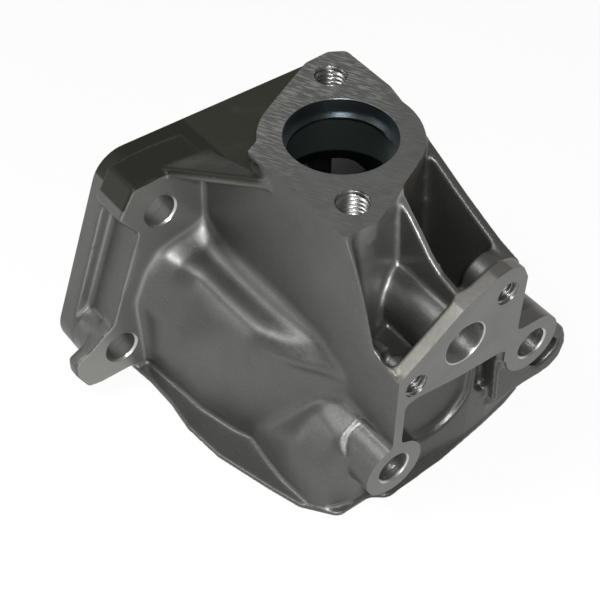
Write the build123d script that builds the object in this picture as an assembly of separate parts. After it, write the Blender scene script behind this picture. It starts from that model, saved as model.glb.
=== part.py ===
from build123d import *
from math import cos, radians, tan
import os

# Water pump housing, one aluminium casting.
# Millimetres, +Z up. Origin on the top flange's face, in the middle of its bore.
# X runs toward the end flange, and -X is the gasket side that bolts to the engine.

# Machined planes: end flange, pads of the short bolts, gasket face
end_x = 59.5
pad_x = -33.4
gasket_x = -54.0

# Faces of the cast body
front_y = -26.0
back_y = 41.0
roof_z = -19.3
roof_slope = 0.0175
base_z = -95.0
lip_z = -93.0
wall_x = 54.5
rim_front_x = -47.0

# Plate thicknesses
web_thick = 1.6
rib_thick = 3.2
ear_thick = 5.0
brace_thick = 3.4

# Top flange: water outlet with two M10 studs
top_bore_r = 17.0
top_bore_depth = 6.0
top_thick = 6.5
top_ring_r = 24.4
top_hole = (24.0, -15.3)

# End flange: small water port with two M8 screws, centres in (y, z)
port = (-1.4, -35.5)
port_bore_r = 7.2
port_mouth_r = 8.9
port_tube_r = 10.3
port_holes = [(13.2, -24.4), (-19.2, -41.3)]
port_boss_r = 7.0
port_boss_x = 47.5

# Four M10 bolts run along X into the engine, two long from the end and two short, centres in (y, z)
long_bolts = [(28.7, -56.1), (-24.6, -75.6)]
short_bolts = [(-42.4, -30.6), (-61.5, -80.2)]
bolt_hole_r = 5.4
bolt_boss_r = 10.5
bolt_hole_chamfer = 0.4

# Tapped holes are drilled to the thread's core, with a plain lead-in at the mouth
m10_core_r = 4.25
m10_lead_r = 5.25
m10_lead_depth = 2.2
m10_depth = 20.0
m8_core_r = 3.4
m8_lead_r = 4.1
m8_lead_depth = 1.2
m8_depth = 9.5

# Water passages
duct_r = 19.5
duct_floor_z = -62.0


def rounded(points, r):
    """Flat outline through the points, each corner rounded by r or as far as its sides allow."""
    corners = []
    for i, point in enumerate(points):
        here = Vector(*point)
        before = Vector(*points[i - 1]) - here
        after = Vector(*points[(i + 1) % len(points)]) - here
        half = radians(before.get_angle(after)) / 2
        reach = min(r / tan(half), 0.45 * min(before.length, after.length))
        middle = (before.normalized() + after.normalized()).normalized()
        tip = here + middle * (reach / cos(half) - reach * tan(half))
        corners.append((here + before.normalized() * reach, tip, here + after.normalized() * reach))
    edges = [ThreePointArc(*corner) for corner in corners]
    edges += [Line(corners[i - 1][2], corners[i][0]) for i in range(len(corners))]
    return make_face(Wire(edges))


def along_x(outline, x_from, x_to):
    """Solid with a (y, z) outline, running from x_from to x_to."""
    return extrude(Plane.YZ.offset(x_from) * outline, x_to - x_from, dir=(1, 0, 0))


def along_y(outline, y_from, y_to):
    """Solid with an (x, z) outline, running from y_from to y_to."""
    return extrude(Plane.XZ.offset(-y_from) * outline, y_to - y_from, dir=(0, 1, 0))


def along_z(outline, z_from, z_to):
    """Solid with an (x, y) outline, running from z_from to z_to."""
    return extrude(Plane.XY.offset(z_from) * outline, z_to - z_from, dir=(0, 0, 1))


def rod_x(centre, r, x_from, x_to):
    """Round bar along X about a (y, z) centre."""
    return along_x(Pos(*centre) * Circle(r), x_from, x_to)


def roof_at(y):
    """Height of the roof, which falls slightly toward the back."""
    return roof_z - roof_slope * y


def gasket_block():
    """Rear block with the gasket rim, the web and the pads of the short bolts."""
    rear = [(back_y, roof_at(back_y)), (back_y, base_z)]
    rim = [(-50.4, roof_at(-50.4)), *rear, (-67.8, base_z), (-73.2, -80.3)]
    web = [(-46, roof_at(-46)), *rear, (-52, base_z), (-58, -91.5), (-66, -80), (-63.6, -69), (-50.6, -35)]
    upper_pad = [(-37.5, -16.8), (-51, -17.4), (-57, -27), (-51, -35), (-36, -44), (-24, -44), (-24, -18.5)]
    lower_pad = [(-63.6, -69), (-73.6, -76), (-78.6, -78.4), (-78.6, -83.4), (-75, -90.8), (-71, -91.7),
                 (-52, -91.7), (-50, -72)]
    block = along_x(rounded(rim, 12), gasket_x, rim_front_x)
    block += along_x(rounded(web, 2), rim_front_x, pad_x)
    block += along_x(rounded(upper_pad, 2), rim_front_x, pad_x)
    block += along_x(rounded(lower_pad, 2), pad_x - ear_thick, pad_x)
    block += rod_x(short_bolts[1], bolt_boss_r, rim_front_x, pad_x)
    return block


def lower_body():
    """Pump body below the roof, with the lip that runs round its foot."""
    side = [(front_y, -46), (18, -46), (30, -48), (back_y, -58), (back_y, base_z), (front_y, base_z)]
    plan = [(-46, front_y), (wall_x, front_y), (wall_x, 10), (wall_x - 1, 20), (wall_x - 3, 31),
            (wall_x - 6, back_y), (-46, back_y)]
    foot = [(-46, -58), (-35, -57.8), (-26, -56.7), (-14, -56.5), (-2, -57.8), (13, -56.5), (32, -51.2),
            (43.4, -47.6), (53.6, -40), (53.8, -28), (57.4, -23.6), (56.4, 0), (54, 19),
            (52, 31), (49.3, back_y),
            (-46, back_y)]
    body = along_x(Polygon(*side, align=None), -46, wall_x)
    body &= along_z(Polygon(*plan, align=None), base_z, -40)
    return body + along_z(rounded(foot, 4), base_z, lip_z)


def on_front_wall(x, outline):
    """Section at x of a swelling on the front wall, its points as (out of the wall, above the foot)."""
    root = -5
    closed = [(root, outline[0][1]), *outline, (root, outline[-1][1])]
    points = [(front_y - out, base_z + height) for out, height in closed]
    return Plane.YZ.offset(x) * Polygon(*points, align=None)


def volute():
    """Scroll on the front wall, which narrows from the pads to a point at the right."""
    stations = [
        (pad_x - 2, [(-0.6, 53.8), (7, 52.3), (13, 51.3), (19.7, 49.3), (24.5, 43.5), (28.2, 34), (25.8, 0)]),
        (-27, [(-0.6, 50.4), (4.8, 46.4), (9.5, 46.2), (14.5, 45), (19, 40), (25, 28), (25.4, 0)]),
        (-20, [(-0.6, 49.9), (4.3, 45.5), (8.8, 45.2), (12.7, 44.2), (15.6, 39.5), (21.5, 26), (25.1, 0)]),
        (-6, [(-0.6, 50.2), (4.2, 45.5), (8.6, 45.1), (12.4, 44.2), (15.8, 39.3), (19, 26), (24, 0)]),
        (8, [(-0.6, 50.1), (3.8, 45.7), (7.8, 45.1), (11.8, 44), (15.2, 39), (17.2, 26), (20.2, 0)]),
        (18.3, [(-0.6, 49.4), (2.4, 46.4), (5, 45.4), (8.4, 44), (10.9, 39.5), (13.4, 26), (15.5, 0)]),
        (24, [(-0.6, 48.6), (0.8, 46.9), (2.4, 45.6), (4.4, 44), (6.8, 39.5), (9.6, 26), (11.6, 0)]),
        (29.5, [(-0.6, 47.4), (-0.2, 46.4), (0.2, 45.4), (0.8, 43.6), (3.2, 39.5), (6, 26), (7.8, 0)]),
        (40.5, [(-1.8, 45), (-1.7, 43.5), (-1.6, 42.5), (-1.5, 41), (-1.3, 37), (-1, 26), (-0.8, 0)]),
    ]
    return loft([on_front_wall(x, outline) for x, outline in stations], ruled=True)


def knuckle():
    """Swelling at the foot of the volute, which ends short beside the front bolt boss."""
    stations = [
        (15, [(0, 15), (14, 10), (17, 6), (18.3, 0)]),
        (23, [(0, 23), (9.5, 19), (16, 12), (19.6, 0)]),
        (33, [(0, 32), (8, 27.5), (16, 18), (20, 0)]),
        (45, [(0, 32), (9.5, 26.5), (15.5, 16), (19, 0)]),
        (49, [(0, 27), (10, 23), (13.5, 15), (16, 0)]),
        (52, [(0, 19), (4, 15), (6, 9), (8, 0)]),
    ]
    return loft([on_front_wall(x, outline) for x, outline in stations], ruled=True)


def neck():
    """Upright duct from the pump body to the top flange, which flares to the right on its way down."""
    rest = [(8, 24), (-24.5, 24), (-24.5, -3), (-20, -13), (-9, front_y)]
    levels = [
        (-47, [(49, front_y), (42.5, -22), (36.5, -15), (33.5, -8.5), (31, -2), (24, 11), (19, 18)]),
        (-33, [(47.3, front_y), (40.5, -22), (35.5, -15), (33, -8.5), (30.5, -2), (24, 11), (19, 18)]),
        (-17, [(41.6, front_y), (37, -22), (34, -15), (31, -8.5), (29.5, -2), (22.6, 11), (17.5, 18)]),
        (-4, [(34.8, front_y), (34, -22), (33, -15), (29.4, -8.5), (28.4, -2), (21.6, 11), (16.5, 18)]),
    ]
    return loft([Plane.XY.offset(z) * Polygon(*side, *rest, align=None) for z, side in levels], ruled=True)


def roof():
    """Roof between the gasket rim and the neck, with the rear wall that carries it."""
    side = [(front_y, roof_at(front_y)), (back_y, roof_at(back_y)), (back_y, -60), (front_y, -60)]
    plan = [(rim_front_x - 1, front_y), (-8, front_y), (20, -10), (20, 22), (0, 34),
            (rim_front_x - 1, back_y)]
    slab = along_x(Polygon(*side, align=None), rim_front_x - 1, 20)
    return slab & along_z(Polygon(*plan, align=None), -60, 0)


def front_wall():
    """Front wall, which runs past the neck as a web and curves down to the end flange."""
    edge = [(-35, -46), (-35, roof_z - 1), (-2, -7), (0, -1), (33.8, -1), (38, -8), (42, -17), (45.5, -27),
            (47.5, -32.5), (51, -34.2), (wall_x + 2, -34.4), (wall_x + 2, -66), (20, -66)]
    corner = [(43, -25), (43.6, -20), (48.4, -20), (49, -25)]
    wall = along_y(Polygon(*edge, align=None), front_y, front_y + web_thick)
    return wall + along_z(Polygon(*corner, align=None), -47, -34)


def brace():
    """Slanting brace from the upper pad to the corner of the top flange, over a three-cornered web."""
    low = Vector(-36, -38, -16.6)
    high = Vector(-1, -25.8, -3.2)
    rear = Vector(-38, -21, -19.6)
    up = (high - low).cross(rear - low).normalized()
    frame = Plane(origin=low, x_dir=high - low, z_dir=up)
    corner = frame.to_local_coords(rear)
    length = (high - low).length
    web = frame * Polygon((0, 0), (length, 0), (corner.X, corner.Y), align=None)
    bar = frame * Polygon((0, -1), (length, -1), (length, 2), (0, 2), align=None)
    return extrude(web + bar, brace_thick, dir=-up)


def top_flange():
    """Outlet flange: a ring with an ear at each stud, straight along the front and the back."""
    front_ear = [(-4, front_y), (33.8, front_y), (34, -14.5), (22.4, 10), (0, 10), (-12, -10), (-13, -20)]
    corner = [(-10.3, front_y), (0, front_y), (0, -18), (-13, -20)]
    rear_ear = [(-1, 24.3), (-9, 26.3), (-31, 27), (-34, 22), (-33.6, 13), (-22.4, -10), (0, -10)]
    face = Circle(top_ring_r) + rounded(front_ear, 1.5) + rounded(rear_ear, 2.2)
    return along_z(face, -top_thick, 0) + along_z(rounded(corner, 1), -2, 0)


def top_flange_boss():
    """Material under the left ear for its tapped hole."""
    hx, hy = top_hole
    return along_z(Pos(-hx, -hy) * Circle(9), roof_z - 4, -3)


def end_flange():
    """Small port flange with its tube, its webs down the right wall and the boss of its rear screw."""
    face = [(-26, -36), (-24.5, -34.4), (-15.6, -28.4), (-4.6, -20.2), (8, -15), (13, -14.4), (18, -16.6),
            (20.6, -22), (20.6, -52), (14, -50.4), (-2, -49.6), (-18, -47.3), (-22.6, -48),
            (-22.6, -66), (-26, -66)]
    rib = Polygon((15.4, -50), (17.4, -50), (20.4, -80), (18.2, -78), align=None)
    plate = along_x(rounded(face, 1.2), wall_x, end_x) + along_x(rib, wall_x - 1, end_x - 2)
    tube = rod_x(port, port_tube_r, 18, wall_x + 1)
    boss = rod_x(port_holes[0], port_boss_r, port_boss_x, wall_x + 1)
    return plate + tube + boss


def port_ribs():
    """Two curved ribs that brace the end flange against the neck."""
    inner = [(24, -1.5), (27.8, -1.5), (30.8, -4.3), (37.6, -10.2), (42.6, -15), (47, -17.6),
             (wall_x + 1, -19.8), (wall_x + 1, -44), (24, -44)]
    outer = [(10, -1.5), (14.6, -1.5), (18.7, -3.3), (26, -7), (33.3, -10.6), (40.5, -13.8), (47.6, -16.8),
             (wall_x + 1, -19), (wall_x + 1, -46), (10, -46)]
    inner_y = port[0] - 1.2
    outer_y = 17.6
    ribs = along_y(Polygon(*inner, align=None), inner_y, inner_y + 0.75 * rib_thick)
    return ribs + along_y(Polygon(*outer, align=None), outer_y, outer_y + rib_thick)


def bolt_bosses():
    """Bosses of the two long bolts, with the web between the right one and the end flange."""
    right, front = long_bolts
    solid = rod_x(front, bolt_boss_r, 37, end_x) + rod_x(right, bolt_boss_r, gasket_x + 3, end_x)
    web = Polygon((17, -44.8), (30, -45.8), (30, -56.5), (17, -56.5), align=None)
    return solid + along_x(web, wall_x - 8, end_x)


def right_ear():
    """Ear under the right bolt boss, hollowed by a curved slot."""
    outline = [(20, -50), (36, -49), (41, -55), (45.3, -61.3), (50.4, -67.8), (52.2, -72.3), (52.9, -76.5),
               (51.5, -82.3), (47.6, -85), (43, -85.5), (36, -85), (20, -86)]
    slot = [(41, -64), (45.5, -69), (48.6, -72.4), (49, -75.4), (47.2, -77.6), (44, -79.6), (40.6, -80.2),
            (36.6, -76.8)]
    ear = along_x(rounded(outline, 3), 36, wall_x)
    return ear - along_x(rounded(slot, 2), wall_x - 8, wall_x + 1)


def chamber():
    """Pump chamber and scroll, open at the gasket side and running round the bolt bosses."""
    front = [(-21, -25), (33, -26), (33, -42), (16, -44), (14, -56), (16, -68), (33, -71), (33, -89),
             (-9, -89), (-12, -66), (-20, -60), (-30, -58), (-36, -64), (-38, -88), (-45, -88),
             (-45, -62), (-40, -55), (-21, -50)]
    deep = [(-18, -51), (14, -51), (14, -58), (16, -68), (33, -71), (33, -89), (-9, -89), (-12, -66),
            (-18, -58)]
    return along_x(rounded(front, 2.5), gasket_x - 1, -26) + along_x(rounded(deep, 2.5), -30, 42)


def top_duct():
    """Outlet passage under the top flange, wider than the machined bore above it."""
    bore = Cylinder(top_bore_r, 40, align=(Align.CENTER, Align.CENTER, Align.MAX))
    duct = Pos(0, 0, -top_bore_depth) * Cylinder(duct_r, -duct_floor_z - top_bore_depth,
                                                 align=(Align.CENTER, Align.CENTER, Align.MAX))
    link = along_x(rounded([(-18, -25.5), (18, -25.5), (18, -50), (-18, -50)], 4), -30, 0)
    return bore + duct + link


def end_port():
    """Port bore through the tube, with the wide mouth at the face."""
    mouth = extrude(Plane.YZ.offset(end_x) * Pos(*port) * Circle(port_mouth_r), -1.7, taper=45)
    return rod_x(port, port_bore_r, 10, end_x + 1) + mouth


def bolt_holes():
    """Clearance holes of the four bolts, lightly chamfered at the pads."""
    holes = Part()
    for centre, face in [(c, end_x) for c in long_bolts] + [(c, pad_x) for c in short_bolts]:
        holes += rod_x(centre, bolt_hole_r, gasket_x - 1, face + 1)
        edge = Plane.YZ.offset(face) * Pos(*centre) * Circle(bolt_hole_r + bolt_hole_chamfer)
        holes += extrude(edge, -bolt_hole_chamfer, taper=45)
    return holes


def tapped_holes():
    """Drilled holes of the four threads."""
    hx, hy = top_hole
    up = (Align.CENTER, Align.CENTER, Align.MAX)
    holes = Part()
    for x, y in [(hx, hy), (-hx, -hy)]:
        holes += Pos(x, y, 0) * Cylinder(m10_core_r, m10_depth, align=up)
        holes += Pos(x, y, 0) * Cylinder(m10_lead_r, m10_lead_depth, align=up)
    for centre in port_holes:
        holes += rod_x(centre, m8_core_r, end_x - m8_depth, end_x)
        holes += rod_x(centre, m8_lead_r, end_x - m8_lead_depth, end_x)
    return holes


def end_recess():
    """Shallow round recess in the right wall under the end flange, and the deeper pocket beside it."""
    drum = Pos(-5, -65) * Circle(15.5) & Pos(-6, -66) * Rectangle(31, 44)
    pocket = rounded([(11.4, -48), (15.6, -48), (18.4, -77), (12.2, -70)], 0.8)
    return along_x(drum, wall_x - 2.3, wall_x) + along_x(pocket, wall_x - 4, wall_x)


housing = gasket_block() + lower_body() + volute() + knuckle() + roof() + neck()
housing += front_wall() + brace() + top_flange() + top_flange_boss()
housing -= end_recess()
housing += end_flange() + port_ribs() + bolt_bosses() + right_ear()
housing -= chamber()
housing -= top_duct()
housing -= end_port()
housing -= bolt_holes()
housing -= tapped_holes()
housing = housing.clean()

os.makedirs("parts", exist_ok=True)
export_step(housing, "parts/pump_housing.step")
print("solids", len(housing.solids()), "volume", round(housing.volume), "box", housing.bounding_box())
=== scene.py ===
import bmesh
import bpy
import math
import numpy as np
import openvdb as vdb
from mathutils import Matrix, Vector


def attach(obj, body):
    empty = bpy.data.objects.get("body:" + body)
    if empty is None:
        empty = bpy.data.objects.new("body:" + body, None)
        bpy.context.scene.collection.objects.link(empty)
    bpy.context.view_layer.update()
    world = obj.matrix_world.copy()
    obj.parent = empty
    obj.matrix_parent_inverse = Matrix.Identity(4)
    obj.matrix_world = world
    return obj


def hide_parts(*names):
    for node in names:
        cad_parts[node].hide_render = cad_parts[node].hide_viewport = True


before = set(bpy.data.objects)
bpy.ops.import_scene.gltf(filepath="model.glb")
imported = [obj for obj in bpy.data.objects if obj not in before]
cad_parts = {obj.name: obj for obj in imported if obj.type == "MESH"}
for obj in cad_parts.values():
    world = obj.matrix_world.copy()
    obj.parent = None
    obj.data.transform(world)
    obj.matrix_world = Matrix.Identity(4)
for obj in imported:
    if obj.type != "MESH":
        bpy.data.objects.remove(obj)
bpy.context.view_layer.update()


# The raw casting: molten aluminium poured into a sand mould, with no corner sharp.
# Its skin is worked on as a distance field in millimetres. Stock is left on the faces to be
# milled, so that only the cutters' edges come out crisp.
MM = 0.001
GRID = 0.42            # spacing of the distance field
REACH = 2.8            # the field is exact this far from the skin
MARGIN = 4.0           # empty room round the part in the field
STOCK = 1.5            # metal left for the milling cutter
WELD = 0.002           # corners this near each other are one
ON_FACE = 0.01         # a corner this near a milled face lies on it
END_X, GASKET_X = 59.5, -54.0

rough = bmesh.new()
rough.from_mesh(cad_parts["pump_housing"].data)
bmesh.ops.scale(rough, vec=(1 / MM,) * 3, verts=rough.verts)
bmesh.ops.remove_doubles(rough, verts=rough.verts, dist=WELD)
bmesh.ops.triangulate(rough, faces=rough.faces)
for corner in rough.verts:
    corner.co.z += STOCK if corner.co.z > -ON_FACE else 0
    corner.co.x += STOCK if corner.co.x > END_X - ON_FACE else 0
    corner.co.x -= STOCK if corner.co.x < GASKET_X + ON_FACE else 0
points = np.array([v.co for v in rough.verts], np.float32)
faces = np.array([[v.index for v in f.verts] for f in rough.faces], np.uint32)
rough.free()

low = np.floor((points.min(0) - MARGIN) / GRID).astype(int)
shape = np.ceil((points.max(0) + MARGIN) / GRID).astype(int) - low
X, Y, Z = ((np.arange(n, dtype=np.float32) + first) * GRID for n, first in zip(shape, low))
X, Y, Z = X[:, None, None], Y[None, :, None], Z[None, None, :]


def field_of(corners, triangles, quads=None):
    """Distance field of a closed mesh, below zero inside."""
    grid = vdb.FloatGrid.createLevelSetFromPolygons(
        corners, triangles=triangles, quads=quads, halfWidth=REACH / GRID,
        transform=vdb.createLinearTransform(voxelSize=GRID))
    dense = np.empty(shape, np.float32)
    grid.copyToArray(dense, ijk=tuple(int(n) for n in low))
    return dense


def skin_of(field, level=0.0):
    """Corners, triangles and quads of the field's surface at a level."""
    grid = vdb.FloatGrid(REACH)
    grid.copyFromArray(field, ijk=tuple(int(n) for n in low))
    grid.transform = vdb.createLinearTransform(voxelSize=GRID)
    grid.gridClass = vdb.GridClass.LEVEL_SET
    return grid.convertToPolygons(isovalue=level, adaptivity=0.0)


def rod(along, centre, radius, start, end):
    """Distance field of a round bar along X or Z."""
    if along == "x":
        side = np.sqrt((Y - centre[0]) ** 2 + (Z - centre[1]) ** 2) - radius
        ends = np.maximum(start - X, X - end)
    else:
        side = np.sqrt((X - centre[0]) ** 2 + (Y - centre[1]) ** 2) - radius
        ends = np.maximum(start - Z, Z - end)
    return np.maximum(side, ends)


def blurred(field, sigma):
    """The field averaged over a bell of that width in millimetres."""
    half = int(3 * sigma / GRID)
    bell = np.exp(-0.5 * (np.arange(-half, half + 1) * GRID / sigma) ** 2)
    bell = (bell / bell.sum()).astype(np.float32)
    for axis in range(3):
        padded = np.pad(field, [(half, half) if a == axis else (0, 0) for a in range(3)], "edge")
        length = field.shape[axis]
        field = sum(w * np.take(padded, range(i, i + length), axis) for i, w in enumerate(bell))
    return field


def ease(value, start, end):
    """0 at start, 1 at end, smooth between."""
    t = np.clip((value - start) / (end - start), 0, 1)
    return t * t * (3 - 2 * t)


# Holes are drilled after casting, so the raw casting is solid there.
# Each hole gets a plug a little wider than the tool that cuts it later.
SEAT_R, SEAT_DEPTH = 17.0, 6.0
PORT_YZ, PORT_R, PORT_MOUTH_R = (-1.4, -35.5), 7.2, 8.9
STUD_HOLES = [(24.0, -15.3), (-24.0, 15.3)]
SCREW_HOLES = [(13.2, -24.4), (-19.2, -41.3)]
LONG_BOLTS = [(28.7, -56.1), (-24.6, -75.6)]
SHORT_BOLTS = [(-42.4, -30.6), (-61.5, -80.2)]
BOLT_R, PAD_X = 5.4, -33.4
STUD_PLUG_R, STUD_PLUG_END = 5.5, -20.2
SCREW_PLUG_R, SCREW_PLUG_DEPTH = 4.4, 9.7
PORT_PLUG_END, MOUTH_PLUG_END = 19.7, 57.5

skin = field_of(points, faces)
plugs = [rod("z", (0, 0), SEAT_R + 0.3, -SEAT_DEPTH, STOCK),
         rod("x", PORT_YZ, PORT_R + 0.3, PORT_PLUG_END, END_X + STOCK),
         rod("x", PORT_YZ, PORT_MOUTH_R + 0.4, MOUTH_PLUG_END, END_X + STOCK)]
plugs += [rod("z", c, STUD_PLUG_R, STUD_PLUG_END, STOCK) for c in STUD_HOLES]
plugs += [rod("x", c, SCREW_PLUG_R, END_X - SCREW_PLUG_DEPTH, END_X + STOCK) for c in SCREW_HOLES]
plugs += [rod("x", c, BOLT_R + 0.6, GASKET_X - STOCK, END_X + STOCK) for c in LONG_BOLTS]
plugs += [rod("x", c, BOLT_R + 0.6, GASKET_X - STOCK, PAD_X) for c in SHORT_BOLTS]

# The duct's sand core left an uneven edge under the seat: a ring with three waves round it.
RING_R, RING_OUTER_R, RING_TOP, RING_END = 16.6, 20.5, -4, -7.1
around = np.sqrt(X ** 2 + Y ** 2)
turn = np.arctan2(Y, X)
ragged = (RING_R + 0.22 * np.sin(7 * turn + 1) + 0.12 * np.sin(17 * turn)
          + 0.08 * np.sin(41 * turn + 2))
plugs.append(np.maximum(np.maximum(ragged - around, around - RING_OUTER_R),
                        np.maximum(RING_END - Z, Z - RING_TOP)))
for plug in plugs:
    skin = np.minimum(skin, plug)

# Inner corners are filled to a radius, then outer edges are rounded to a smaller one.
# The thin web at the slanting brace has crisper corners than the rest.
FILLET, EDGE, HELD_BACK = 1.3, 0.55, 0.75
filled = field_of(*skin_of(skin, FILLET)) + FILLET
filled = np.where(filled > REACH, REACH, filled)
crisp = ease(Y, -18, -21) * ease(X, 1, -2) * ease(X, -37, -34) * ease(Z, -24, -21)
filled = filled + HELD_BACK * crisp * (skin - filled)
filled = field_of(*skin_of(filled, -EDGE)) - EDGE

# The scroll and the swelling at its foot were carved smooth in the pattern.
# Only their part of the field is worked on, and the front bolt's boss keeps its form.
CARVED_LOW, CARVED_HIGH, SMOOTHING = (-38, -58, -96), (58, -20, -36), 1.6
starts = [int((a - b * GRID) / GRID) for a, b in zip(CARVED_LOW, low)]
stops = [int((a - b * GRID) / GRID) for a, b in zip(CARVED_HIGH, low)]
part = tuple(slice(a, b) for a, b in zip(starts, stops))
part_x, part_y, part_z = X[part[0]], Y[:, part[1]], Z[:, :, part[2]]
share = (ease(part_y, -22.5, -25) * ease(part_x, -35, -32) * ease(part_x, 56, 50)
         * ease(part_z, -93.5, -90.5) * ease(part_z, -38, -43))
boss = np.sqrt((part_y - LONG_BOLTS[1][0]) ** 2 + (part_z - LONG_BOLTS[1][1]) ** 2)
share = share * (1 - ease(boss, 12.5, 11) * ease(part_x, 34, 38))
filled[part] += share * (blurred(filled[part], SMOOTHING) - filled[part])


def plane(normal, spot):
    """Distance field of what lies behind a plane through a spot, over the carved part."""
    length = math.hypot(*normal)
    axes = part_x, part_y, part_z
    return sum(n / length * (axis - at) for n, axis, at in zip(normal, axes, spot))


def rounded(first, second, radius):
    """What both hold, with their shared edge rounded."""
    a, b = first + radius, second + radius
    outside = np.sqrt(np.maximum(a, 0) ** 2 + np.maximum(b, 0) ** 2)
    return outside + np.minimum(np.maximum(a, b), 0) - radius


def melted(first, second, radius):
    """What either holds, with a fillet between."""
    near = np.maximum(radius - np.abs(first - second), 0) / radius
    return np.minimum(first, second) - near * near * radius / 4


# The scroll ends in a flat leaf: its face, its tip, its underside and its upper edge.
# It is 6 mm thick, sinks away toward the gasket side and melts into the casting.
face = plane((0.3, -0.61, 0.73), (32, -26.9, -50))
leaf = rounded(face, plane((0.45, -0.47, 0.76), (29.6, -28.3, -48.9)), 8)
leaf = rounded(leaf, plane((0.45, -0.65, -0.6), (15.4, -40.4, -54.4)), 2)
leaf = rounded(leaf, plane((-0.22, 0.31, 0.92), (4.7, -38.1, -47.6)), 5)
leaf = np.maximum(leaf + 10 * ease(part_x, 26, -4), -6 - face)
filled[part] = melted(filled[part], leaf, 2.5)

corners, triangles, quads = skin_of(filled)
casting_mesh = bpy.data.meshes.new("casting")
casting_mesh.from_pydata(corners * MM, [], [*triangles.tolist(), *quads.tolist()])
casting = bpy.data.objects.new("casting", casting_mesh)
bpy.context.scene.collection.objects.link(casting)
form = bmesh.new()
form.from_mesh(casting_mesh)
if form.calc_volume(signed=True) < 0:
    bmesh.ops.reverse_faces(form, faces=form.faces)
bmesh.ops.triangulate(form, faces=form.faces)
form.to_mesh(casting_mesh)
form.free()


def applied(obj):
    """Replaces the object's mesh by what its modifiers make of it."""
    bpy.context.view_layer.update()
    evaluated = obj.evaluated_get(bpy.context.evaluated_depsgraph_get())
    made = bpy.data.meshes.new_from_object(evaluated)
    obj.modifiers.clear()
    obj.data = made


TRIANGLES = 130000     # enough for the smallest radius, well under the limit for one piece
fewer = casting.modifiers.new("fewer", "DECIMATE")
fewer.ratio = TRIANGLES / len(casting_mesh.polygons)
applied(casting)


# What a finish is made of: nodes that work on the object's own coordinates in millimetres.
def linear(code):
    """An sRGB hex colour as Blender's linear RGBA."""
    parts = [int(code[i:i + 2], 16) / 255 for i in (1, 3, 5)]
    return [c / 12.92 if c <= 0.04045 else ((c + 0.055) / 1.055) ** 2.4 for c in parts] + [1]


def feed(tree, node, inputs):
    """Gives inputs a value, another node's output, or a node for its first output."""
    for key, value in inputs.items():
        if isinstance(value, bpy.types.Node):
            value = value.outputs[0]
        if isinstance(value, bpy.types.NodeSocket):
            tree.links.new(value, node.inputs[key])
        else:
            node.inputs[key].default_value = value


def add(tree, kind, inputs=None, **settings):
    """Adds one node with its settings and links."""
    made = tree.nodes.new(kind)
    for name, value in settings.items():
        setattr(made, name, value)
    feed(tree, made, inputs or {})
    return made


def finish_named(name):
    """A new material with only its shader and output."""
    material = bpy.data.materials.new(name)
    material.use_nodes = True
    return material, material.node_tree, material.node_tree.nodes["Principled BSDF"]


def place_on(tree):
    """Where the point is on the object, in millimetres."""
    place = add(tree, "ShaderNodeTexCoord").outputs["Object"]
    return add(tree, "ShaderNodeVectorMath", {0: place, 1: (1 / MM,) * 3}, operation="MULTIPLY")


def within(tree, *edges, share=None):
    """1 inside every edge, 0 outside; an edge is a value, where it gives 0 and where 1."""
    for value, outer, inner in edges:
        ramp = add(tree, "ShaderNodeMapRange",
                   {"Value": value, "From Min": outer, "From Max": inner},
                   interpolation_type="SMOOTHSTEP")
        if share is not None:
            ramp = add(tree, "ShaderNodeMath", {0: share, 1: ramp}, operation="MULTIPLY")
        share = ramp
    return share


def layered(tree, base, *layers):
    """A colour with others over it, each layer a share and its colour."""
    colour = linear(base)
    for share, code in layers:
        colour = add(tree, "ShaderNodeMixRGB",
                     {"Fac": share, "Color1": colour, "Color2": linear(code)})
    return colour


def grain_of(tree, place, size, detail=2.0, stretch=(1, 1, 1)):
    """Noise of a size in millimetres, longer where the stretch is over 1."""
    scale = tuple(1 / (size * s) for s in stretch)
    spread = add(tree, "ShaderNodeVectorMath", {0: place, 1: scale}, operation="MULTIPLY")
    return add(tree, "ShaderNodeTexNoise", {"Vector": spread, "Scale": 1.0, "Detail": detail})


# Sand-cast aluminium: satin grey with the sand's grain, which sparkles where it catches a lamp.
# The sand's grains are 0.4 mm, the mould's small swells 1.6 mm and its clouds of tone 14 mm.
cast_metal, tree, shader = finish_named("sand_cast_aluminium")
place = place_on(tree)
x, y, z = add(tree, "ShaderNodeSeparateXYZ", {0: place}).outputs
facing = add(tree, "ShaderNodeNewGeometry").outputs["Normal"]
across, rear, up = add(tree, "ShaderNodeSeparateXYZ", {0: facing}).outputs
sand = grain_of(tree, place, 0.38)
swell = grain_of(tree, place, 1.6)
cloud = grain_of(tree, place, 14.0, 4.0)
speck = within(tree, (sand, 0.62, 0.72), share=0.5)

# The roof's upward faces are darker and olive, broken up in patches.
olive_roof = within(tree, (up, 0.45, 0.8), (x, 2, -6), (grain_of(tree, place, 20.0, 3.0), 0.2, 0.5),
              (z, -30, -24))
# The pocket between the two ribs is painted dark olive, partly painted shade and partly dirt, with
# rust run down in streaks.
pocket = within(tree, (y, 0, 2), (y, 17.6, 17), (x, 23, 25), (x, 50, 46))
shade_and_dirt = add(tree, "ShaderNodeMath", {0: pocket, 1: 0.85}, operation="MULTIPLY")
rust = within(tree, (grain_of(tree, place, 1.5, 4.0, (1, 1, 3)), 0.58, 0.66), share=pocket)
# Coolant left the duct's wall green-grey; the pump chamber is painted nearly black, as painted
# shade for its closed-off inside.
level = add(tree, "ShaderNodeCombineXYZ", {"X": x, "Y": y})
reach = add(tree, "ShaderNodeVectorMath", {0: level}, operation="LENGTH").outputs["Value"]
outward = add(tree, "ShaderNodeVectorMath", {0: facing, 1: level}, operation="DOT_PRODUCT")
duct = within(tree, (reach, 21.5, 20.5), (z, -6.9, -7.4), (outward.outputs["Value"], 2, -2))
chamber = within(tree, (x, -2, -3), (z, -21.3, -22), (x, -51, -50), (z, -48, -44),
                 (y, -22, -21), (y, 39, 38))
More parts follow.
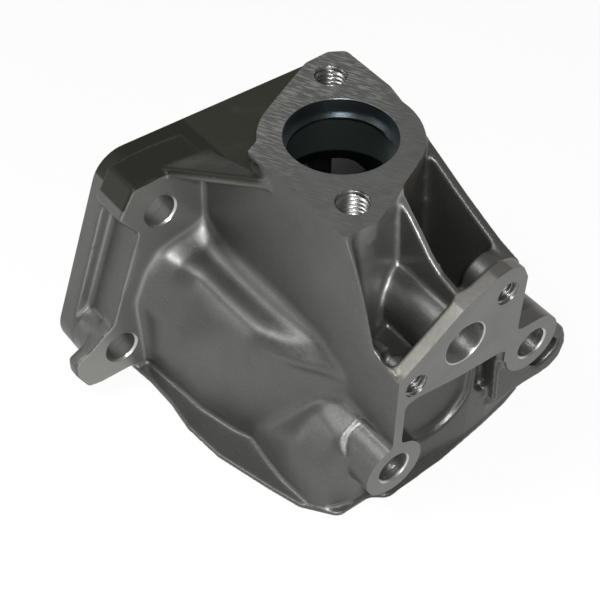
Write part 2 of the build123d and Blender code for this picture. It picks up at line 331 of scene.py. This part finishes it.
# Painted light: faces that look toward the end flange, the bolt pads and the neck's side, are
# painted paler, as if lit from there.
pads = within(tree, (across, 0.75, 0.95), (x, -30, -33))
flank = within(tree, (across, 0.3, 0.6), (y, -23, -20), (y, 0.5, 0), (x, 53, 50), (x, 8, 12),
               (z, -50, -40))
painted_light = add(tree, "ShaderNodeMath", {0: pads, 1: flank}, operation="MAXIMUM")
# The upper edge of the end flange is a tone lighter than the rest of the casting.
band = within(tree, (x, 54, 54.6), (z, -52, -49), (up, 0.1, 0.4))
# Painted shade: the steps under the scroll's tip and the web under the brace are painted darker,
# for the shade they lie in.
steps = within(tree, (across, 0.6, 0.9), (x, 15, 20), (z, -46, -50), (y, -31, -28))
web = within(tree, (z, -24.6, -23.8), (y, -19, -20.5), (x, 0, -4), (up, 0.1, 0.3))
colour = layered(tree, "#545452", (cloud, "#646463"), (speck, "#898986"), (olive_roof, "#3d3e35"),
                 (shade_and_dirt, "#393b31"), (rust, "#5f4822"), (duct, "#4c5853"),
                 (chamber, "#111413"), (painted_light, "#858582"), (band, "#6c6b67"),
                 (steps, "#424340"), (web, "#2f302a"))

# The olive roof and the pocket between the ribs are duller than bare metal.
dull = add(tree, "ShaderNodeMath", {0: olive_roof, 1: pocket}, operation="MAXIMUM")
matt = add(tree, "ShaderNodeMath", {0: swell, 1: 0.12, 2: 0.35}, operation="MULTIPLY_ADD")
matt = add(tree, "ShaderNodeMath", {0: dull, 1: 0.18, 2: matt}, operation="MULTIPLY_ADD")
bump = add(tree, "ShaderNodeBump", {"Height": swell, "Strength": 0.35, "Distance": 0.12 * MM})
bump = add(tree, "ShaderNodeBump",
           {"Height": sand, "Strength": 0.55, "Distance": 0.07 * MM, "Normal": bump})
feed(tree, shader, {"Base Color": colour, "Metallic": 0.85, "Roughness": matt, "Normal": bump})

# Milled aluminium: paler and duller, scratched crosswise where gaskets were scraped off.
# Most of the scraping is on the gasket's side of the flange.
milled_metal, tree, shader = finish_named("milled_aluminium")
place = place_on(tree)
slant = add(tree, "ShaderNodeMapping",
            {"Vector": place, "Rotation": (0.0, 0.0, math.radians(62))})
scratch = grain_of(tree, slant, 0.6, 3.0, (1, 8, 1))
patch = grain_of(tree, place, 7.0, 4.0)
fine = grain_of(tree, place, 0.5)
x = add(tree, "ShaderNodeSeparateXYZ", {0: place}).outputs["X"]
worn = add(tree, "ShaderNodeMath", {0: patch, 1: 24.0, 2: x}, operation="MULTIPLY_ADD")
worn = within(tree, (worn, 22, -6))
worn = add(tree, "ShaderNodeMath", {0: worn, 1: 0.75, 2: 0.15}, operation="MULTIPLY_ADD")
scraped = within(tree, (scratch, 0.47, 0.6), share=worn)
colour = layered(tree, "#6e6e6b", (patch, "#858582"), (scraped, "#acaba7"))
bump = add(tree, "ShaderNodeBump", {"Height": scratch, "Strength": 0.5, "Distance": 0.08 * MM})
bump = add(tree, "ShaderNodeBump",
           {"Height": fine, "Strength": 0.35, "Distance": 0.04 * MM, "Normal": bump})
feed(tree, shader, {"Base Color": colour, "Metallic": 1.0, "Roughness": 0.52, "Normal": bump})

# Ground aluminium, on the end face: even and smooth, with no marks that the eye can follow.
ground_metal, tree, shader = finish_named("ground_aluminium")
place = place_on(tree)
colour = layered(tree, "#6e6e6c", (grain_of(tree, place, 9.0, 3.0), "#7a7a78"))
bump = add(tree, "ShaderNodeBump",
           {"Height": grain_of(tree, place, 0.5), "Strength": 0.15, "Distance": 0.03 * MM})
feed(tree, shader, {"Base Color": colour, "Metallic": 1.0, "Roughness": 0.45, "Normal": bump})


def bored_finish(name, stretch, dark, light, depth):
    """Metal cut by a turning tool: rings round the bore, bright where they face a lamp."""
    material, tree, shader = finish_named(name)
    rings = grain_of(tree, place_on(tree), 0.35, 3.0, stretch)
    bump = add(tree, "ShaderNodeBump", {"Height": rings, "Strength": 0.8, "Distance": depth * MM})
    feed(tree, shader, {"Base Color": layered(tree, dark, (rings, light)), "Metallic": 1.0,
                        "Roughness": 0.34, "Normal": bump})
    return material


# Bolt holes are bright with a drill's rings, the top seat is a fine dull grey-blue,
# and threads are smoother than both, because a tap leaves no rings.
drilled_metal = bored_finish("drilled_aluminium", (1, 60, 60), "#9a9a98", "#cfcfcc", 0.2)
seat_metal = bored_finish("bored_aluminium", (60, 60, 1), "#70767a", "#7e8487", 0.05)
thread_metal = bored_finish("threaded_aluminium", (8, 8, 8), "#7b7b79", "#919190", 0.03)


# The milled faces: outlet flange, end flange with the long bolts' bosses, and gasket face.
# One pass of a face mill each, which leaves a crisp edge all round.
def object_of(form, name, material):
    """An object made of a finished bmesh."""
    mesh = bpy.data.meshes.new(name)
    form.to_mesh(mesh)
    form.free()
    mesh.materials.append(material)
    obj = bpy.data.objects.new(name, mesh)
    bpy.context.scene.collection.objects.link(obj)
    return obj


def block(name, lowest, highest, material):
    """A closed box between two corners in millimetres."""
    form = bmesh.new()
    bmesh.ops.create_cube(form, size=1)
    middle = (Vector(lowest) + Vector(highest)) / 2
    bmesh.ops.scale(form, vec=Vector(highest) - Vector(lowest), verts=form.verts)
    bmesh.ops.translate(form, vec=middle, verts=form.verts)
    bmesh.ops.scale(form, vec=(MM,) * 3, verts=form.verts)
    return object_of(form, name, material)


def joined(objects):
    """One object of several, the first one's name kept."""
    form = bmesh.new()
    materials = []
    for obj in objects:
        start = len(form.faces)
        form.from_mesh(obj.data)
        form.faces.ensure_lookup_table()
        material = obj.data.materials[-1]    # a tap's first slot is empty
        if material not in materials:
            materials.append(material)
        for face in form.faces[start:]:
            face.material_index = materials.index(material)
    mesh = bpy.data.meshes.new(objects[0].name)
    form.to_mesh(mesh)
    form.free()
    for material in materials:
        mesh.materials.append(material)
    for obj in objects[1:]:
        bpy.data.objects.remove(obj)
    objects[0].data = mesh
    return objects[0]


def cut(obj, tool):
    """Takes the tool's volume out of the object, whose new faces keep the tool's finish."""
    boolean = obj.modifiers.new("cut", "BOOLEAN")
    boolean.object = tool
    boolean.operation = "DIFFERENCE"
    boolean.solver = "MANIFOLD"
    boolean.material_mode = "TRANSFER"
    applied(obj)
    bpy.data.objects.remove(tool)


casting.data.materials.append(cast_metal)
cut(casting, joined([
    block("face_mill", (-50, -40, 0), (50, 40, 5), milled_metal),
    block("face_mill_end", (END_X, -60, -100), (END_X + 5, 60, -5), ground_metal),
    block("face_mill_gasket", (GASKET_X - 5, -100, -110), (GASKET_X, 60, 5), ground_metal)]))


# The bores, drilled holes and threads.
# They are cut last and together, each with the finish that its own tool leaves.
def turned(name, axis, centre, face, profile, material, around=64):
    """A closed turned solid: (depth, radius) steps inward from a face along X or Z."""
    form = bmesh.new()
    rings = []
    for depth, radius in profile:
        ring = []
        for i in range(around):
            a = 2 * math.pi * i / around
            side = centre[0] + radius * math.cos(a), centre[1] + radius * math.sin(a)
            here = (*side, face - depth) if axis == "z" else (face - depth, *side)
            ring.append(form.verts.new(Vector(here) * MM))
        rings.append(ring)
    for a, b in zip(rings, rings[1:]):
        for i in range(around):
            j = (i + 1) % around
            form.faces.new((a[i], a[j], b[j], b[i]))
    form.faces.new(rings[0])
    form.faces.new(rings[-1])
    bmesh.ops.recalc_face_normals(form, faces=form.faces)
    return object_of(form, name, material)


def thread_tree(material):
    """Geometry nodes for a tap: a grid wrapped round an axis, its radius following a helix."""
    tree = bpy.data.node_groups.new("tap", "GeometryNodeTree")
    tree.interface.new_socket("Geometry", in_out="OUTPUT", socket_type="NodeSocketGeometry")
    for name in ("Core Radius", "Thread Depth", "Pitch", "Length", "Lead Radius", "Lead Depth"):
        tree.interface.new_socket(name, in_out="INPUT", socket_type="NodeSocketFloat")
    sizes = add(tree, "NodeGroupInput").outputs
    grid = add(tree, "GeometryNodeMeshGrid",
               {"Size X": 1.0, "Size Y": 1.0, "Vertices X": 49, "Vertices Y": 180})
    corner = add(tree, "ShaderNodeSeparateXYZ", {0: add(tree, "GeometryNodeInputPosition")})
    known = {socket.name: socket for socket in [*sizes, *corner.outputs]}
    # A row is a Math node: its result's name, its operation and what it works on.
    # The grid's X is a turn round the axis and its Y the way down into the hole.
    for result, operation, *values in [
            ("turn", "ADD", "X", 0.5),
            ("along", "ADD", "Y", 0.5),
            ("depth", "MULTIPLY", "along", "Length"),
            # The thread: 0 on the crest left in the metal, 1 in the groove.
            ("pitches", "DIVIDE", "depth", "Pitch"),
            ("helix", "ADD", "pitches", "turn"),
            ("phase", "FRACT", "helix"),
            ("centred", "SUBTRACT", "phase", 0.5),
            ("half", "ABSOLUTE", "centred"),
            ("wave", "MULTIPLY", "half", 2.0),
            ("raised", "SUBTRACT", "wave", 0.1),
            ("steep", "MULTIPLY", "raised", 1.25),
            ("floored", "MAXIMUM", "steep", 0.0),
            ("groove", "MINIMUM", "floored", 1.0),
            ("cut", "MULTIPLY", "groove", "Thread Depth"),
            ("threaded", "ADD", "Core Radius", "cut"),
            # The lead-in at the mouth, a cone that narrows by 0.35 of its depth.
            ("in lead", "LESS_THAN", "depth", "Lead Depth"),
            ("narrowing", "MULTIPLY", "depth", 0.35),
            ("cone", "SUBTRACT", "Lead Radius", "narrowing"),
            ("lead", "MULTIPLY", "in lead", "cone"),
            ("wide", "MAXIMUM", "threaded", "lead"),
            # The first and last row close on the axis.
            ("after first", "GREATER_THAN", "along", 0.001),
            ("before last", "LESS_THAN", "along", 0.999),
            ("inner", "MULTIPLY", "after first", "before last"),
            ("radius", "MULTIPLY", "wide", "inner"),
            ("angle", "MULTIPLY", "turn", 2 * math.pi),
            ("cosine", "COSINE", "angle"),
            ("sine", "SINE", "angle"),
            ("spot x", "MULTIPLY", "radius", "cosine"),
            ("spot y", "MULTIPLY", "radius", "sine"),
            ("spot z", "SUBTRACT", 0.6 * MM, "depth")]:
        known[result] = add(tree, "ShaderNodeMath",
                            {i: known.get(v, v) for i, v in enumerate(values)},
                            operation=operation)
    spot = add(tree, "ShaderNodeCombineXYZ",
               {axis: known["spot " + axis.lower()] for axis in "XYZ"})
    wrapped = add(tree, "GeometryNodeSetPosition", {"Geometry": grid, "Position": spot})
    closed = add(tree, "GeometryNodeMergeByDistance", {"Geometry": wrapped, "Distance": 0.01 * MM})
    real = add(tree, "GeometryNodeRealizeInstances", {"Geometry": closed})
    coloured = add(tree, "GeometryNodeSetMaterial", {"Geometry": real, "Material": material})
    add(tree, "NodeGroupOutput", {"Geometry": coloured})
    return tree


tap_tree = thread_tree(thread_metal)


def tapped(name, axis, centre, face, **sizes):
    """A tap of those sizes in millimetres, standing in its hole."""
    mesh = bpy.data.meshes.new(name)
    obj = bpy.data.objects.new(name, mesh)
    bpy.context.scene.collection.objects.link(obj)
    nodes = obj.modifiers.new("tap", "NODES")
    nodes.node_group = tap_tree
    sockets = {item.name: item.identifier for item in tap_tree.interface.items_tree}
    for key, value in sizes.items():
        nodes[sockets[key.replace("_", " ").title()]] = value * MM
    applied(obj)
    turn = Matrix.Rotation(math.pi / 2, 4, "Y") if axis == "x" else Matrix.Identity(4)
    spot = (*centre, face) if axis == "z" else (face, *centre)
    form = bmesh.new()
    form.from_mesh(obj.data)
    placed = Matrix.Translation(Vector(spot) * MM) @ turn
    bmesh.ops.transform(form, matrix=placed, verts=form.verts)
    bmesh.ops.recalc_face_normals(form, faces=form.faces)
    form.to_mesh(obj.data)
    form.free()
    return obj


# Every profile starts 1 mm above its face and narrows to the hole's radius just below it,
# which leaves a small lead-in. The port's mouth is rounded instead.
LIP = 0.5              # radius of the port's mouth
NOSE_R = 15.9          # the boring tool's nose passes inside the ragged edge
lip = [(LIP * (1 - math.cos(a)), PORT_R + LIP - LIP * math.sin(a))
       for a in np.radians(np.arange(10, 91, 10))]
tools = [turned("bores", "z", (0, 0), 0,
                [(-1, SEAT_R + 1.1), (0.1, SEAT_R), (SEAT_DEPTH, SEAT_R),
                 (SEAT_DEPTH, NOSE_R), (8, NOSE_R)], seat_metal, 128),
         turned("port", "x", PORT_YZ, END_X,
                [(-1, PORT_R + 0.8), (-0.02, PORT_R + LIP), *lip, (47, PORT_R)],
                drilled_metal, 96)]
for centre in LONG_BOLTS:
    tools.append(turned("long", "x", centre, END_X,
                        [(-1, BOLT_R + 1.5), (0.5, BOLT_R), (118, BOLT_R)], drilled_metal))
for centre in SHORT_BOLTS:
    tools.append(turned("short", "x", centre, PAD_X,
                        [(-1, BOLT_R + 1.6), (0.6, BOLT_R), (24, BOLT_R)], drilled_metal))
for centre in STUD_HOLES:
    tools.append(tapped("m10", "z", centre, 0, core_radius=4.25, thread_depth=0.85, pitch=1.5,
                        length=20.6, lead_radius=5.35, lead_depth=2.2))
for centre in SCREW_HOLES:
    tools.append(tapped("m8", "x", centre, END_X, core_radius=3.4, thread_depth=0.65, pitch=1.25,
                        length=10.1, lead_radius=4.2, lead_depth=1.5))
cut(casting, joined(tools))
casting.data.shade_smooth()
casting.data.set_sharp_from_angle(angle=math.radians(38))
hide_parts("pump_housing")
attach(casting, "root")


# The studio: a white table under the part, and a room that is white low down and dim above.
# To the camera and in reflections the table shines by itself, so that it comes out even.
FLOOR_Z, HALF = -95.0 * MM, 4
floor_mesh = bpy.data.meshes.new("floor")
floor_mesh.from_pydata([(-HALF, -HALF, FLOOR_Z), (HALF, -HALF, FLOOR_Z),
                        (HALF, HALF, FLOOR_Z), (-HALF, HALF, FLOOR_Z)], [], [(0, 1, 2, 3)])
floor = bpy.data.objects.new("floor", floor_mesh)
bpy.context.scene.collection.objects.link(floor)
paper, tree, shader = finish_named("white_table")
feed(tree, shader, {"Base Color": linear("#e8e8e6"), "Roughness": 0.9})
floor_mesh.materials.append(paper)
path = add(tree, "ShaderNodeLightPath").outputs
seen = add(tree, "ShaderNodeMath", {0: path["Is Camera Ray"], 1: path["Is Glossy Ray"]},
           operation="MAXIMUM")
seen = add(tree, "ShaderNodeMath", {0: seen, 1: path["Is Transmission Ray"]},
           operation="MAXIMUM")
seen = add(tree, "ShaderNodeMath", {0: seen, 1: 0.9}, operation="MULTIPLY")
white = add(tree, "ShaderNodeEmission", {"Color": (1, 1, 1, 1), "Strength": 1.0})
mixed = add(tree, "ShaderNodeMixShader", {0: seen, 1: shader, 2: white})
feed(tree, tree.nodes["Material Output"], {"Surface": mixed})

# The room's upper half is dark on the camera's side and a little lighter across from it.
world = bpy.data.worlds.new("room")
world.use_nodes = True
bpy.context.scene.world = world
tree = world.node_tree
outward = add(tree, "ShaderNodeTexCoord").outputs["Generated"]
height = add(tree, "ShaderNodeSeparateXYZ", {0: outward}).outputs["Z"]
front = add(tree, "ShaderNodeVectorMath", {0: outward, 1: (0.78, -0.62, 0.0)},
            operation="DOT_PRODUCT").outputs["Value"]
below = within(tree, (height, 0.25, 0.1))
above = add(tree, "ShaderNodeMath", {0: 1.0, 1: below}, operation="SUBTRACT")
behind = within(tree, (front, 0.3, -0.1), share=above)
level = add(tree, "ShaderNodeMath", {0: behind, 1: 0.3, 2: below}, operation="MULTIPLY_ADD")
level = add(tree, "ShaderNodeMath", {0: level, 1: 0.04}, operation="ADD")
feed(tree, tree.nodes["Background"], {"Color": (1, 1, 1, 1), "Strength": level})


def lamp(name, spot, size, power):
    """A round lamp that faces the part's middle; its place is in metres."""
    data = bpy.data.lights.new(name, "AREA")
    data.shape = "DISK"
    data.size = size
    data.energy = power
    obj = bpy.data.objects.new(name, data)
    obj.location = spot
    toward = Vector((0, -0.01, -0.04)) - Vector(spot)
    obj.rotation_euler = toward.to_track_quat("-Z", "Y").to_euler()
    bpy.context.scene.collection.objects.link(obj)


# Three soft lamps give the long bright lines, and a small one the sparks in the threads.
lamp("overhead", (-0.29, -0.47, 0.83), 0.35, 4.0)
lamp("low_left", (-0.50, -0.82, 0.25), 0.35, 1.2)
lamp("low_right", (0.95, -0.50, 0.15), 0.4, 2.4)
lamp("flash", (0.25, -0.20, 0.30), 0.04, 2.2)

# The camera stands where the photograph was taken from.
camera = bpy.data.objects.new("camera", bpy.data.cameras.new("camera"))
bpy.context.scene.collection.objects.link(camera)
bpy.context.scene.camera = camera
camera.data.lens = 77.09
camera.data.sensor_width = 36
camera.data.clip_start, camera.data.clip_end = 0.01, 20
right, up, back = (0.6109, 0.7917, 0.0112), (-0.5801, 0.438, 0.6868), (0.5388, -0.426, 0.7268)
turned_to_part = Matrix((right, up, back)).transposed().to_4x4()
camera.matrix_world = Matrix.Translation((0.2190, -0.1873, 0.2356)) @ turned_to_part

bpy.context.scene.view_settings.view_transform = "Standard"
